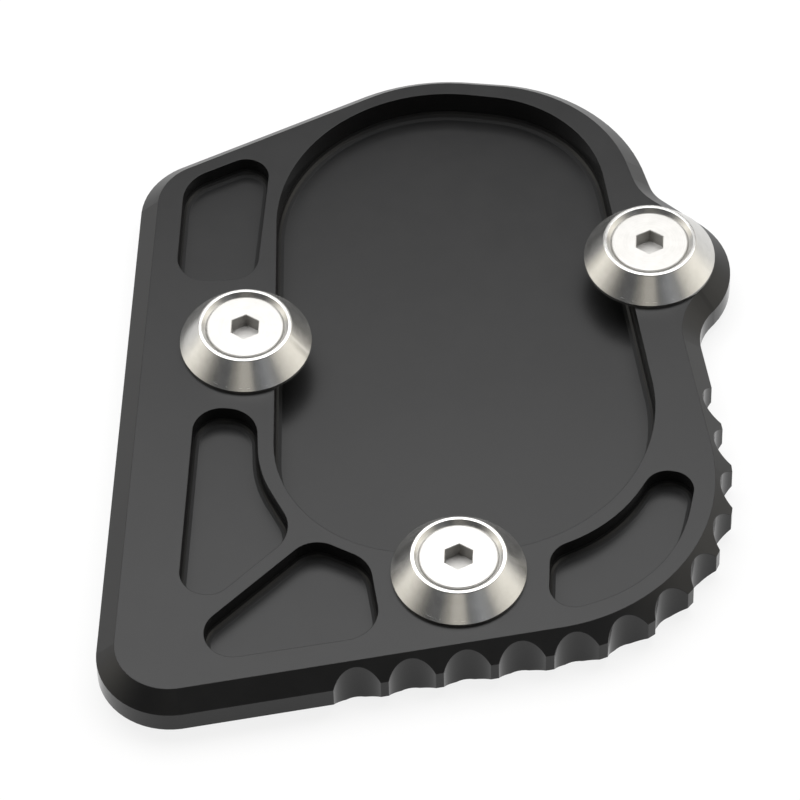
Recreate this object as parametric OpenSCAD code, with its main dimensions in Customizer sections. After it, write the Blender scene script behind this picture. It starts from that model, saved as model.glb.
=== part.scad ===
// Foot enlarger for a motorcycle's side stand: a milled plate that takes the
// stand's foot in a pocket, held there by three cone washers on countersunk
// screws. Plan positions are drawn from the corner where the straight left
// edge (x = 0) and the front edge would meet, then the part is moved so that
// its origin is the middle of its underside.

/* [Plate] */
// Thickness of the plate
plate_t = 8; // [7.6:0.1:12]
// Height and width of the bevel round the top edge
top_bevel = 2.75; // [1:0.05:3.2]
// Height and width of the bevel round the bottom edge
low_bevel = 1.8; // [0.4:0.1:2.2]
// Radius of the front left corner
front_corner_r = 11; // [6:0.5:14]
// Radius of the back left corner
back_corner_r = 11.2; // [6:0.1:14]
// Radius of the big round front right corner
front_right_r = 31.2; // [28:0.1:31.4]
// Radius of the lobe that carries the right screw
lobe_r = 12.6; // [11:0.1:12.8]

/* [Pocket for the foot] */
// Depth of the pocket
pocket_depth = 5.1; // [3:0.1:5.8]
// Radius where the pocket's wall runs into its floor
pocket_floor_r = 1; // [0.3:0.1:1.5]

/* [Lightening pockets] */
// Depth of the four small pockets
relief_depth = 3.3; // [1.5:0.1:5]
// Radius where their walls run into their floors
relief_floor_r = 0.9; // [0.3:0.1:1.5]

/* [Grip flutes] */
// Number of flutes along the front and right edge
flute_count = 12; // [0:1:12]
// Diameter of the cutter that makes a flute
flute_d = 8; // [6:0.1:9]
// How far each flute bites into the side
flute_depth = 2.05; // [0.5:0.05:2.5]
// Distance between flutes, measured along the edge
flute_pitch = 8.14; // [7.8:0.01:8.3]
// Distance of the first flute from the front left corner, along the edge
flute_start = 25.5; // [24:0.1:27]

/* [Cone washers] */
// Diameter of a washer's foot
washer_d = 20; // [18:0.1:22]
// Height of the straight land at the foot
washer_land = 0.55; // [0.3:0.05:1]
// Diameter of the countersink's mouth
sink_d = 13.1; // [12.6:0.1:16]
// Width of the flat rim round the countersink
rim_width = 0.5; // [0.3:0.05:1.2]
// Height of the straight bore under the countersink
bore_land = 0.9; // [0.5:0.05:2]
// Diameter of the washer's bore
washer_bore = 6.4; // [6.2:0.1:6.8]

/* [Screws] */
// Thread diameter
screw_d = 6; // [5:0.1:6]
// Length over all, head included
screw_len = 10; // [8:0.5:11.5]
// Diameter of the head
head_d = 11.6; // [10.5:0.1:12]
// Height of the straight land round the head
head_land = 0.35; // [0.1:0.05:0.6]
// Width of the hexagon socket across its flats
hex_af = 4; // [3:0.1:4.5]
// Depth of the hexagon socket
hex_depth = 2.4; // [1.5:0.1:2.6]
// Gap round the thread in the plate's tapped holes
thread_gap = 0.05; // [0.02:0.01:0.15]

/* [Hidden] */
$fn = 96;

floor_steps = 3; // flats in the radius at a pocket's floor
over = 1;        // how far a cutter runs past a face
lap = 1.5;       // how far a straight cut runs on past a round corner's start
bite = 0.006;    // how much deeper each next cut goes, so that it crosses the last one
step = 0.003;    // and how far its edges stand below or above those of the last one
stock = 3;       // material left round an outline before its side is milled
lap_turn = 6;    // how many degrees a cut in a hollow corner runs on
hole_chamfer = 0.5;
tip_chamfer = 0.7;
edge_break = 0.2;
black = [0.13, 0.13, 0.14];
steel = [0.75, 0.75, 0.74];
bright = [0.88, 0.88, 0.87];

// Corners of each outline, counter-clockwise: [x, y, radius of the arc]
plate_corners = [[0, 0, front_corner_r], [93.6, 22.1, front_right_r], [92.1, 51.6, 38],
    [86.2, 78.2, 8.6], [96.1, 91.5, lobe_r], [79.1, 104.8, 6], [71.9, 125.9, 25.7],
    [40.6, 127.8, 29.4], [0, 104.7, back_corner_r]];
pocket_corners = [[24.7, 30.9, 20.9], [86.5, 33.5, 27.8], [68.3, 120.4, 20], [19.7, 125.2, 26.1]];
relief_corners = [
    [[6.6, 82.6, 4.5], [18.9, 83.3, 4.3], [19.7, 110.3, 3.6], [6.5, 102.9, 6.4]],
    [[11.3, 23.6, 4.2], [17, 22.6, 3.8], [28, 34.9, 5.7], [21.7, 46, 19.8], [20.7, 57.6, 4.8],
        [11.3, 58.2, 4.3]],
    [[7.5, 8.8, 4.4], [41.8, 16.6, 5.4], [39.1, 30, 5.2], [30.3, 34.1, 4.6]],
    [[65.5, 33, 4.2], [65.7, 20.8, 3.7], [84, 28.4, 22], [86.9, 47.7, 3.4], [80.6, 48.7, 3.6],
        [75, 38.1, 24]]];

// Screw positions: left, right, front
screw_at = [[18.2, 70.7], [78.8, 89.6], [52.3, 28.3]];

function unit(v) = v / norm(v);
function xy(p) = [p[0], p[1]];
function heading(v) = atan2(v[1], v[0]);

// At corner i of outline k: the point, the directions back and on, half the angle
// between them, and whether the corner is round (1) or hollow (-1)
function at(k, i) = xy(k[(i + len(k)) % len(k)]);
function radius(k, i) = k[(i + len(k)) % len(k)][2];
function back(k, i) = unit(at(k, i - 1) - at(k, i));
function on(k, i) = unit(at(k, i + 1) - at(k, i));
function half(k, i) = acos(back(k, i) * on(k, i)) / 2;
function way(k, i) = cross(on(k, i), back(k, i)) > 0 ? 1 : -1;

// The arc there: its centre, where it starts and where it ends
function centre(k, i) = at(k, i) + unit(back(k, i) + on(k, i)) * radius(k, i) / sin(half(k, i));
function arc_start(k, i) = at(k, i) + back(k, i) * radius(k, i) / tan(half(k, i));
function arc_end(k, i) = at(k, i) + on(k, i) * radius(k, i) / tan(half(k, i));

// Points along the whole outline, each with the direction that faces out of it
function outline(k, fine) = [for (i = [0:len(k) - 1]) let (c = centre(k, i), w = way(k, i),
    a = heading(arc_start(k, i) - c), sweep = 180 - 2 * half(k, i), n = ceil(sweep / fine))
    for (j = [0:n]) let (v = [cos(a + w * sweep * j / n), sin(a + w * sweep * j / n)])
        [c + radius(k, i) * v, w * v]];

// The corners moved out by d, parallel to the sides
function moved_out(k, d) = [for (i = [0:len(k) - 1])
    at(k, i) - way(k, i) * unit(back(k, i) + on(k, i)) * d / sin(half(k, i))];

// How far the stock's corner stands out past the arc at corner i
function tip(k, i) = radius(k, i) * (1 / sin(half(k, i)) - 1) + stock / sin(half(k, i));

// What is milled off outside an outline: the profile gives [how far out, height]
// points up the finished side, which stands at x = r
module side_cut(profile, wide, r = 0, hollow = false) {
    n = len(profile);
    cut = concat(profile, [[wide, profile[n - 1][1]], [wide, profile[0][1]]]);
    polygon([for (i = [0:n + 1]) hollow ? [r - cut[n + 1 - i][0], cut[n + 1 - i][1]] : cut[i] + [r, 0]]);
}

module mill_straight(k, i, profile) {
    lap_a = way(k, i) > 0 ? lap : 0;
    lap_b = way(k, i + 1) > 0 ? lap : 0;
    d = on(k, i);
    a = arc_end(k, i) - d * lap_a;
    b = arc_start(k, i + 1) + d * lap_b;
    translate([a[0], a[1], 0]) rotate([0, 0, heading(d) - 90]) mirror([0, 1, 0])
        rotate([90, 0, 0]) linear_extrude(norm(b - a)) translate([-bite, -step])
            side_cut(profile, stock + over);
}

module mill_round(k, i, profile) {
    c = centre(k, i);
    translate([c[0], c[1], 0]) rotate([0, 0, heading(arc_start(k, i) - c)])
        rotate_extrude(angle = 180 - 2 * half(k, i))
            side_cut(profile, tip(k, i) + over, radius(k, i));
}

module mill_hollow(k, i, profile) {
    c = centre(k, i);
    translate([c[0], c[1], step]) rotate([0, 0, heading(arc_end(k, i) - c) - lap_turn])
        rotate_extrude(angle = 180 - 2 * half(k, i) + 2 * lap_turn)
            side_cut(profile, stock + over, radius(k, i) + 2 * bite, hollow = true);
}

// A solid with a rounded outline and the profile all round it, from z = low to high
module milled(k, low, high, profile) {
    difference() {
        translate([0, 0, low]) linear_extrude(high - low) polygon(moved_out(k, stock));
        for (i = [0:len(k) - 1]) {
            mill_straight(k, i, profile);
            if (way(k, i) > 0) mill_round(k, i, profile);
            else mill_hollow(k, i, profile);
        }
    }
}

plate_outline = [for (e = outline(plate_corners, 1)) e[0]];
xs = [for (p = plate_outline) p[0]];
ys = [for (p = plate_outline) p[1]];
middle = [(min(xs) + max(xs)) / 2, (min(ys) + max(ys)) / 2];

// Place and outward direction at a length s along the front side and on round the plate
front_point = ceil(180 - 2 * half(plate_corners, 0));
function place(s, i) = let (a = plate_outline[i], b = plate_outline[i + 1], side = norm(b - a))
    s > side ? place(s - side, i + 1) : let (u = unit(b - a)) [a + u * s, [u[1], -u[0]]];

module flutes() {
    if (flute_count > 0)
        for (i = [0:flute_count - 1]) {
            p = place(flute_start + i * flute_pitch, front_point);
            q = p[0] + p[1] * (flute_d / 2 - flute_depth);
            translate([q[0], q[1], -over]) cylinder(d = flute_d, h = plate_t + 2 * over);
        }
}

// A pocket open at the top, with a radius of flats between wall and floor
module pocket(k, depth, r) {
    low = plate_t - depth;
    flats = [for (i = [0:floor_steps]) let (a = 90 * i / floor_steps)
        [-r * (1 - sin(a)), low + r * (1 - cos(a))]];
    profile = concat([flats[0] * 1.5 - flats[1] * 0.5], [for (i = [1:floor_steps]) flats[i]],
        [[0, plate_t + 2 * over]]);
    milled(k, low, plate_t + over, profile);
}

module tapped_hole() {
    r = screw_d / 2 + thread_gap;
    translate([0, 0, -over]) cylinder(r = r, h = plate_t + 2 * over);
    translate([0, 0, -over]) cylinder(r1 = r + hole_chamfer + over, r2 = r, h = hole_chamfer + over);
}

module base_plate() {
    color(black) translate([-middle[0], -middle[1], 0]) difference() {
        milled(plate_corners, 0, plate_t, [[-low_bevel - over, -over], [0, low_bevel],
            [0, plate_t - top_bevel], [-top_bevel - over, plate_t + over]]);
        flutes();
        pocket(pocket_corners, pocket_depth, pocket_floor_r);
        for (k = relief_corners) pocket(k, relief_depth, relief_floor_r);
        for (p = screw_at) translate([p[0], p[1], 0]) tapped_hole();
    }
}

// Height of the washers' countersink cone at radius r, measured from the plate's top
function sink_z(r) = bore_land + r - washer_bore / 2;
rim_d = sink_d + 2 * rim_width;

module cone_washer() {
    color(steel) rotate_extrude() polygon([
        [washer_bore / 2, 0], [washer_d / 2, 0], [washer_d / 2, washer_land],
        [rim_d / 2, sink_z(sink_d / 2)], [sink_d / 2, sink_z(sink_d / 2)],
        [washer_bore / 2, bore_land]]);
}

module countersunk_screw() {
    head_z = sink_z(head_d / 2) + head_land;
    color(bright) difference() {
        rotate_extrude() polygon([
            [0, head_z - screw_len], [screw_d / 2 - tip_chamfer, head_z - screw_len],
            [screw_d / 2, head_z - screw_len + tip_chamfer], [screw_d / 2, sink_z(screw_d / 2)],
            [head_d / 2, sink_z(head_d / 2)], [head_d / 2, head_z - edge_break],
            [head_d / 2 - edge_break, head_z], [0, head_z]]);
        translate([0, 0, head_z - hex_depth])
            rotate([0, 0, 30]) cylinder(d = hex_af / cos(30), h = hex_depth + over, $fn = 6);
    }
}

module on_plate(i) {
    translate([screw_at[i][0] - middle[0], screw_at[i][1] - middle[1], plate_t]) children();
}

module washer_left() { on_plate(0) cone_washer(); }
module washer_right() { on_plate(1) cone_washer(); }
module washer_front() { on_plate(2) cone_washer(); }
module screw_left() { on_plate(0) countersunk_screw(); }
module screw_right() { on_plate(1) countersunk_screw(); }
module screw_front() { on_plate(2) countersunk_screw(); }

base_plate();
washer_left();
washer_right();
washer_front();
screw_left();
screw_right();
screw_front();
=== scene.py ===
import math

import bmesh
import bpy
from mathutils import Matrix, Vector


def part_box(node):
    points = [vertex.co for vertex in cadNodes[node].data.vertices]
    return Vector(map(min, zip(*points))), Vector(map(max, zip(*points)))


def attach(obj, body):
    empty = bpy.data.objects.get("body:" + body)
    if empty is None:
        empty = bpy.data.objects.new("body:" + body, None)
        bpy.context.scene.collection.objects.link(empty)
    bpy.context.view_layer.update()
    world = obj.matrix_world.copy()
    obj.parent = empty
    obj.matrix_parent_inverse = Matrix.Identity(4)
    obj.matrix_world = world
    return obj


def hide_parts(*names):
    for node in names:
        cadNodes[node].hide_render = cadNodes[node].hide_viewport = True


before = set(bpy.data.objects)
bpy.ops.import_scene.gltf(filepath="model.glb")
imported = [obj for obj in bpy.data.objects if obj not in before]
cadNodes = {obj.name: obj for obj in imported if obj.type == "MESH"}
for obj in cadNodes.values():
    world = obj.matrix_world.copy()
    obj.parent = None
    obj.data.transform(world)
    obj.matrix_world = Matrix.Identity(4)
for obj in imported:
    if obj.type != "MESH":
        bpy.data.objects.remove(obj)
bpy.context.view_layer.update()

sides = ("left", "right", "front")
mm = 0.001
print("frame loaded:", len(cadNodes), "nodes")


class Wire:
    # an output socket that Python expressions can work with: each sum adds a Math node
    def __init__(self, tree, socket=None):
        self.tree, self.socket = tree, socket

    def node(self, kind, settings=None, values=None, out=0):
        made = self.tree.nodes.new(kind)
        for name, setting in (settings or {}).items():
            if name == "stops":
                ramp = made.color_ramp.elements
                while len(ramp) < len(setting):
                    ramp.new(0.5)
                for element, (place, shade) in zip(ramp, setting):
                    element.position = place
                    element.color = (*shade, 1)
            else:
                setattr(made, name, setting)
        for name, value in (values or {}).items():
            if isinstance(value, Wire):
                self.tree.links.new(value.socket, made.inputs[name])
            else:
                made.inputs[name].default_value = value
        return Wire(self.tree, made.outputs[out]) if len(made.outputs) else made

    def math(self, operation, *terms):
        return self.node("ShaderNodeMath", {"operation": operation}, dict(enumerate(terms)))

    def __add__(self, other):
        return self.math("ADD", self, other)

    def __sub__(self, other):
        return self.math("SUBTRACT", self, other)

    def __rsub__(self, other):
        return self.math("SUBTRACT", other, self)

    def __mul__(self, other):
        return self.math("MULTIPLY", self, other)

    def __truediv__(self, other):
        return self.math("DIVIDE", self, other)

    def __rtruediv__(self, other):
        return self.math("DIVIDE", other, self)

    __radd__, __rmul__ = __add__, __mul__

    def between(self, low, high):  # 0 below low, 1 above high
        return self.node("ShaderNodeMapRange", {"interpolation_type": "SMOOTHSTEP"},
                         {"Value": self, "From Min": low, "From Max": high})

    def parts(self, vector):  # the three parts of a vector
        separate = self.node("ShaderNodeSeparateXYZ", {}, {0: vector}).socket.node
        return [Wire(self.tree, socket) for socket in separate.outputs]

    def noise(self, scale, detail, rough, at, kind="3D"):
        spot = {"Vector": at} if kind == "3D" else {"W": at}
        return self.node("ShaderNodeTexNoise", {"noise_dimensions": kind},
                         {"Scale": scale, "Detail": detail, "Roughness": rough, **spot})

    def blend(self, low, high):  # a colour that goes from low to high with this value
        return self.node("ShaderNodeMix", {"data_type": "RGBA"},
                         {0: self, 6: (*low, 1), 7: (*high, 1)}, out=2)


def newMaterial(name):
    material = bpy.data.materials.new(name)
    material.use_nodes = True
    material.node_tree.nodes.clear()
    return material, Wire(material.node_tree)


def finishMaterial(wire, shader):
    wire.node("ShaderNodeOutputMaterial", {}, {"Surface": shader})


def coordinates(wire):
    return wire.node("ShaderNodeTexCoord", out="Object")


toneRange = (0.3, 0.7)       # the noise values at which a finish is fully dark and fully light

# Black anodised plate: satin, bead blasted, with edges that catch the light
anodised = {
    "dark": (0.0090, 0.0090, 0.0093),
    "light": (0.0120, 0.0120, 0.0123),
    "clouds": 45.0,          # broad patches of tone, per metre
    "cloudShare": 0.6,
    "smears": 260.0,         # finer ones, which also change the gloss
    "roughness": 0.36,
    "roughnessSpread": 0.08,
    "cornerRoughness": 0.7,  # where a pocket's floor turns up into its wall
    "cornerLow": (0.92, 0.94), "cornerHigh": (0.98, 0.99),   # how level that corner's faces are
    "wallRoughness": 0.13,   # the milled walls and flutes are smoother than the top
    "wallLevel": (0.05, 0.15),
    "ior": 1.37,
    "grain": 3600.0,         # grains per metre of the blasted texture
    "grainDepth": 0.004 * mm,
    "grainStrength": 0.5,
    "edge": 0.16 * mm,       # how far the edges are rounded for the light
    "edgeSamples": 6,
}


def anodisedMaterial():
    material, wire = newMaterial("anodisedBlack")
    spot = coordinates(wire)
    cloud = wire.noise(anodised["clouds"], 3.0, 0.55, spot)
    grain = wire.noise(anodised["grain"], 2.0, 0.6, spot)
    smear = wire.noise(anodised["smears"], 4.0, 0.65, spot)
    rounded = wire.node("ShaderNodeBevel", {"samples": anodised["edgeSamples"]}, {"Radius": anodised["edge"]})
    bumped = wire.node("ShaderNodeBump", {}, {
        "Strength": anodised["grainStrength"], "Distance": anodised["grainDepth"],
        "Height": grain, "Normal": rounded})
    share = anodised["cloudShare"]
    tone = (cloud * share + smear * (1 - share)).between(*toneRange)
    # level is 1 on floors and 0 on walls
    level = wire.parts(wire.node("ShaderNodeNewGeometry", out="True Normal"))[2]
    corner = level.between(*anodised["cornerLow"]) * (1 - level.between(*anodised["cornerHigh"]))
    wall = 1 - wire.math("ABSOLUTE", level).between(*anodised["wallLevel"])
    base = anodised["roughness"]
    rough = base + (smear - 0.5) * anodised["roughnessSpread"]
    rough = rough + corner * (anodised["cornerRoughness"] - base)
    rough = rough + wall * (anodised["wallRoughness"] - base)
    shader = wire.node("ShaderNodeBsdfPrincipled", {}, {
        "Base Color": tone.blend(anodised["dark"], anodised["light"]), "Roughness": rough,
        "IOR": anodised["ior"], "Normal": bumped})
    finishMaterial(wire, shader)
    return material


# Turned steel: fine rings round the piece's own axis, which draw the light out into rays
turned = {
    "washer": {"dark": (0.56, 0.553, 0.535), "light": (0.64, 0.633, 0.615),
               "roughness": 0.24, "rings": 9000.0, "stretch": 0.75},
    "screw": {"dark": (0.49, 0.482, 0.466), "light": (0.57, 0.561, 0.545),
              "roughness": 0.5, "rings": 6500.0, "stretch": 0.1},
    "ringDepth": 0.0010 * mm,
    "ringStrength": 0.6,
    "ringRise": 0.8,         # how much the height counts beside the radius, so that cones have rings too
    "ringSpread": 0.08,      # how much the rings change the roughness
    "mottle": 700.0,
    "mottleSpread": 0.1,
    "stretchTurn": 0.25,     # a quarter turn: the light is drawn out across the rings
}


def turnedMaterial(name, look):
    material, wire = newMaterial(name)
    spot = coordinates(wire)
    x, y, z = wire.parts(spot)
    radius = wire.math("SQRT", x * x + y * y)
    rings = wire.noise(look["rings"], 3.0, 0.6, radius - z * turned["ringRise"], "1D")
    mottled = wire.noise(turned["mottle"], 3.0, 0.6, spot)
    bumped = wire.node("ShaderNodeBump", {}, {
        "Strength": turned["ringStrength"], "Distance": turned["ringDepth"], "Height": rings})
    tone = (rings * 0.5 + mottled * 0.5).between(*toneRange)
    rough = look["roughness"] + (mottled - 0.5) * turned["mottleSpread"] + (rings - 0.5) * turned["ringSpread"]
    shader = wire.node("ShaderNodeBsdfPrincipled", {}, {
        "Base Color": tone.blend(look["dark"], look["light"]), "Metallic": 1.0, "Roughness": rough,
        "Anisotropic": look["stretch"], "Anisotropic Rotation": turned["stretchTurn"], "Normal": bumped})
    finishMaterial(wire, shader)
    return material


def setMaterial(thing, material):
    thing.data.materials.clear()
    thing.data.materials.append(material)


anodisedBlack = anodisedMaterial()
setMaterial(cadNodes["base_plate"], anodisedBlack)
washerSteel = turnedMaterial("turnedSteel", turned["washer"])
screwSteel = turnedMaterial("brightSteel", turned["screw"])
print("materials done")


def arc(before, corner, after, size, steps=4):
    # the corner of a profile, rounded; a row before it and one after it keep the faces beside it flat
    corner = Vector(corner)
    into, out = ((Vector(point) - corner).normalized() for point in (before, after))
    half = into.angle(out) / 2
    middle = corner + (into + out).normalized() * size / math.sin(half)
    first, last = ((corner + way * size / math.tan(half) - middle) / size for way in (into, out))
    rows = [middle + first.slerp(last, i / steps) * size for i in range(steps + 1)]
    guard = size / 8
    return [tuple(row) for row in [rows[0] + into * guard] + rows + [rows[-1] + out * guard]]


sharpAngle = 25              # edges that turn by more degrees are sharp


def spin(name, rows, turns, closed=False):
    # turns rows of (radius, height) round the upright axis; both may be functions of the angle
    # closed joins the last row to the first
    form, rings = bmesh.new(), []
    for radius, height in rows:
        ring = []
        for i in range(1 if radius == 0 else turns):
            angle = math.tau * i / turns
            r, z = (size(angle) if callable(size) else size for size in (radius, height))
            ring.append(form.verts.new((r * math.cos(angle) * mm, r * math.sin(angle) * mm, z * mm)))
        rings.append(ring)
    for near, far in zip(rings, rings[1:] + rings[:closed]):
        for i in range(turns):
            j = (i + 1) % turns
            corners = [near[i % len(near)], near[j % len(near)], far[j % len(far)], far[i % len(far)]]
            form.faces.new(list(dict.fromkeys(corners)))
    bmesh.ops.recalc_face_normals(form, faces=form.faces)
    mesh = bpy.data.meshes.new(name)
    form.to_mesh(mesh)
    form.free()
    mesh.shade_smooth()
    mesh.set_sharp_from_angle(angle=math.radians(sharpAngle))
    piece = bpy.data.objects.new(name, mesh)
    bpy.context.scene.collection.objects.link(piece)
    return piece


# Washers, screws and threads, in mm: radii, and heights from the plate's top
washer = {
    "foot": 10.0, "footLand": 0.55, "rim": 7.05, "height": 4.25, "sink": 6.55, "bore": 3.2, "boreLand": 0.9,
    "turns": 160,
    # how far each edge is rounded
    "edges": {"bore": 0.1, "foot": 0.08, "footTop": 0.1, "rim": 0.28, "sink": 0.12, "sinkEnd": 0.1},
}


def washerPiece(name):
    size, edge = washer, washer["edges"]
    corners = {
        "bore": (size["bore"], 0), "foot": (size["foot"], 0), "footTop": (size["foot"], size["footLand"]),
        "rim": (size["rim"], size["height"]), "sink": (size["sink"], size["height"]),
        "sinkEnd": (size["bore"], size["boreLand"])}
    keys = list(corners)
    rows = []
    for i, key in enumerate(keys):
        rows += arc(corners[keys[i - 1]], corners[key], corners[keys[(i + 1) % len(keys)]], edge[key])
    return spin(name, rows, size["turns"], closed=True)


screw = {
    "headTop": 3.85, "head": 5.8, "headLand": 0.35, "headEdge": 0.2,
    "shank": 3.0, "length": 10.0, "tip": 0.7,
    "coneEnd": 0.7,          # where the head's cone meets the shank
    "threadStop": 0.3,       # how far under that the thread ends
    "hexHalf": 2.0, "hexDepth": 2.4,
    "hexLead": 0.11,         # the bevel round the socket
    "flat": 0.02,            # a row so far outside the bevel keeps the head's top flat
    "drill": 1.98, "drillTip": 12.0,   # the hollow in the socket's floor and its slope in degrees
    "turns": 96,
}
halfSide = 30                # half of a hexagon's side, in degrees
thread = {
    "pitch": 1.0, "depth": 0.55, "crest": 0.125, "root": 0.75, "rowsPerPitch": 10,
    "gap": 0.05,             # between the screw's thread and the plate's
    "hole": 3.05,
    "bury": 0.04,            # how far the plate's thread reaches into the hole's wall
    "core": 2.55, "top": -0.5, "bottom": -7.5,
    "runOut": 0.8,           # how steeply the ridges end
}


def threadRadius(angle, height):
    turn = height / thread["pitch"] - angle / math.tau
    across = abs(2 * (turn - math.floor(turn)) - 1)      # 0 at a crest, 1 in a root
    share = (across - thread["crest"]) / (thread["root"] - thread["crest"])
    return screw["shank"] - thread["depth"] * min(max(share, 0), 1)


def threadRows(low, high, radiusAt):
    count = round((high - low) / thread["pitch"] * thread["rowsPerPitch"])
    heights = [low + (high - low) * i / count for i in range(count + 1)]
    return [(lambda angle, z=z: radiusAt(angle, z), z) for z in heights]


def screwPiece(name):
    size = screw
    top, head, shank, edge = size["headTop"], size["head"], size["shank"], size["headEdge"]
    bottom = top - size["length"]
    threadEnd = size["coneEnd"] - size["threadStop"]
    slope = math.tan(math.radians(size["drillTip"]))

    def shankRadius(angle, z):
        runOut = shank - (threadEnd - z) * thread["runOut"]
        return min(max(threadRadius(angle, z), runOut), shank - size["tip"] + z - bottom)

    def hexagon(half):  # one of its corners points to the back
        def radius(angle):
            off = (math.degrees(angle) - halfSide) % (2 * halfSide) - halfSide
            return half / math.cos(math.radians(off))
        return radius

    rows = [(0, bottom)] + threadRows(bottom, threadEnd, shankRadius)
    rows += [(shank, size["coneEnd"]), (head, top - size["headLand"])]
    rows += arc((head, bottom), (head, top), (0, top), edge)
    half, lead, socket = size["hexHalf"], size["hexLead"], top - size["hexDepth"]
    rows += [(hexagon(half + lead + size["flat"]), top), (hexagon(half + lead), top),
             (hexagon(half), top - lead), (hexagon(half), socket), (size["drill"], socket),
             (0, socket - size["drill"] * slope)]
    return spin(name, rows, size["turns"])


def threadPiece(name):
    low, high, wall = thread["bottom"], thread["top"], thread["hole"]

    def ridge(angle, z):
        ending = wall - min(z - low, high - z) * thread["runOut"]
        return min(max(threadRadius(angle, z) + thread["gap"], thread["core"], ending), wall)

    outside = wall + thread["bury"]
    return spin(name, [(outside, low)] + threadRows(low, high, ridge) + [(outside, high)], screw["turns"],
                closed=True)


for side in sides:
    low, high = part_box("washer_" + side)
    place = Vector(((low[0] + high[0]) / 2, (low[1] + high[1]) / 2, low[2]))
    for kind, make, material, slot in (("washer", washerPiece, washerSteel, "turned_steel"),
                                       ("screw", screwPiece, screwSteel, "bright_steel"),
                                       ("thread", threadPiece, anodisedBlack, "black_anodised")):
        piece = make(kind + "." + side)
        piece.location = place
        setMaterial(piece, material)
        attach(piece, "root")
        if kind != "thread":
            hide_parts(kind + "_" + side)
print("washers, screws and threads done")


# Floor and light
studio = {
    "floorWidth": 12.0,
    "floorDrop": 0.02 * mm,  # keeps the floor clear of the plate's underside
    "floorGlow": 0.84,       # how much of the white floor doesn't take the shadow
    "floorWhite": 0.8,       # how much light it throws back onto the object
    "lampSize": (0.5, 0.27),
    "lampDistance": 0.36,
    "lampRise": 71.0,        # degrees above the horizon, behind the plate
    "lampPower": 1.62,
    "worldPower": 1.0,
}
cameraTurn = 4.15            # degrees round the plate, from its front towards its right


def makeFloor():
    size = studio["floorWidth"] / 2
    mesh = bpy.data.meshes.new("floor")
    corners = [(-size, -size, 0), (size, -size, 0), (size, size, 0), (-size, size, 0)]
    mesh.from_pydata(corners, [], [(0, 1, 2, 3)])
    floor = bpy.data.objects.new("floor", mesh)
    bpy.context.scene.collection.objects.link(floor)
    floor.location.z = -studio["floorDrop"]
    material, wire = newMaterial("paleFloor")
    white = (studio["floorWhite"],) * 3 + (1,)
    seen = seenByCamera(wire)
    lit = wire.node("ShaderNodeBsdfDiffuse", {}, {"Color": white})
    part = wire.node("ShaderNodeBsdfDiffuse", {}, {"Color": (1 - studio["floorGlow"],) * 3 + (1,)})
    glow = wire.node("ShaderNodeEmission", {}, {"Color": (1, 1, 1, 1), "Strength": studio["floorGlow"]})
    shown = wire.node("ShaderNodeAddShader", {}, {0: part, 1: glow})
    finishMaterial(wire, wire.node("ShaderNodeMixShader", {}, {0: seen, 1: lit, 2: shown}))
    mesh.materials.append(material)


def seenByCamera(wire):
    path = wire.node("ShaderNodeLightPath").socket.node
    rays = [Wire(wire.tree, path.outputs[name]) for name in
            ("Is Camera Ray", "Is Glossy Ray", "Is Transmission Ray")]
    return wire.math("MINIMUM", rays[0] + rays[1] + rays[2], 1.0)


# The room's light: degrees to the right of straight in front, how bright, and its tint
plain, warm, cool = (1, 1, 1), (1, 0.96, 0.87), (0.92, 0.95, 1)
roomRing = [(-180, 0.95, plain), (-150, 0.85, plain), (-130, 0.65, plain), (-116, 1.25, warm),
            (-104, 1.6, warm), (-92, 1.25, warm), (-78, 0.8, warm), (-62, 0.3, warm), (-50, 0.12, plain),
            (-32, 0.15, cool), (-18, 0.5, warm), (-8, 0.88, warm), (6, 0.86, warm), (13, 0.24, plain),
            (20, 0.3, cool), (34, 0.46, cool), (48, 0.37, plain), (60, 0.84, warm), (80, 1.25, warm),
            (96, 1.55, warm), (110, 1.5, warm), (122, 1.0, warm), (150, 0.95, plain), (180, 0.95, plain)]
# The same overhead: the front is dark, the back is light
overhead = [(0, 0.02, plain), (55, 0.06, plain), (100, 0.4, plain), (180, 0.35, plain)]
ringTop = (0.46, 0.55)       # the share of up at which the one gives way to the other


def stops(plan, first, last):
    return [((degrees - first) / (last - first), tuple(level * part for part in tint))
            for degrees, level, tint in plan]


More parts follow.
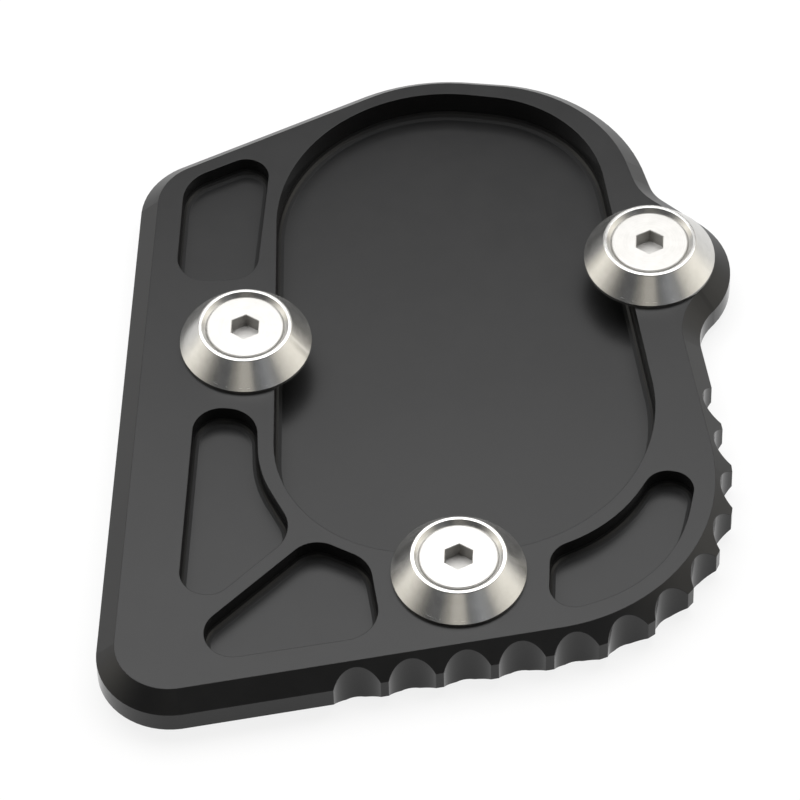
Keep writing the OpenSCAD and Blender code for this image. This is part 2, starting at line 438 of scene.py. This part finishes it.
def makeRoom():
    world = bpy.data.worlds.new("room")
    bpy.context.scene.world = world
    world.use_nodes = True
    world.node_tree.nodes.clear()
    wire = Wire(world.node_tree)
    direction = wire.node("ShaderNodeTexCoord", out="Generated")
    x, y, z = wire.parts(direction)
    turn = math.radians(cameraTurn)
    across = x * math.cos(turn) + y * math.sin(turn)
    behind = y * math.cos(turn) - x * math.sin(turn)
    angle = wire.math("ARCTAN2", across, behind * -1.0)
    ring = wire.node("ShaderNodeValToRGB", {"stops": stops(roomRing, -180, 180)},
                     {0: angle / math.tau + 0.5})
    top = wire.node("ShaderNodeValToRGB", {"stops": stops(overhead, 0, 180)},
                    {0: wire.math("ABSOLUTE", angle) / math.pi})
    height = z.between(*ringTop)
    light = wire.node("ShaderNodeMix", {"data_type": "RGBA"}, {0: height, 6: ring, 7: top}, out=2)
    back = wire.node("ShaderNodeBackground", {}, {"Color": light, "Strength": studio["worldPower"]})
    wire.node("ShaderNodeOutputWorld", {}, {"Surface": back})


def makeLamp(name, turnRound, rise, distance, size, power):
    lamp = bpy.data.lights.new(name, "AREA")
    lamp.shape = "RECTANGLE"
    lamp.size, lamp.size_y = size
    lamp.energy = power
    thing = bpy.data.objects.new(name, lamp)
    bpy.context.scene.collection.objects.link(thing)
    a, e = math.radians(turnRound), math.radians(rise)
    away = Vector((math.sin(a) * math.cos(e), -math.cos(a) * math.cos(e), math.sin(e)))
    thing.location = away * distance
    thing.rotation_mode = "QUATERNION"
    thing.rotation_quaternion = away.to_track_quat("Z", "Y")
    thing.visible_camera = False
    return thing


makeFloor()
makeRoom()
makeLamp("backSoftbox", 180 + cameraTurn, studio["lampRise"], studio["lampDistance"], studio["lampSize"],
         studio["lampPower"])
print("floor and light done")

# Camera: a long lens that looks down on the plate from the front; rise and roll in degrees
view = {
    "lens": 257.8,
    "target": (-4.06 * mm, -5.145 * mm, 8.55 * mm),
    "distance": 0.859,
    "rise": 51.05,
    "roll": -1.67,
    "sensor": 36.0,
    "clip": (0.01, 50.0),
}


def makeCamera():
    data = bpy.data.cameras.new("camera")
    data.sensor_fit = "HORIZONTAL"
    data.sensor_width, data.lens = view["sensor"], view["lens"]
    data.clip_start, data.clip_end = view["clip"]
    camera = bpy.data.objects.new("camera", data)
    bpy.context.scene.collection.objects.link(camera)
    a, e, roll = (math.radians(value) for value in (cameraTurn, view["rise"], view["roll"]))
    back = Vector((math.sin(a) * math.cos(e), -math.cos(a) * math.cos(e), math.sin(e)))
    right = Vector((math.cos(a), math.sin(a), 0))
    up = back.cross(right)
    axes = (right * math.cos(roll) + up * math.sin(roll),
            up * math.cos(roll) - right * math.sin(roll), back)
    camera.matrix_world = Matrix.Translation(Vector(view["target"]) + back * view["distance"]) @ \
        Matrix(axes).transposed().to_4x4()
    bpy.context.scene.camera = camera


makeCamera()
bpy.context.scene.view_settings.view_transform = "Standard"

print("scene done")
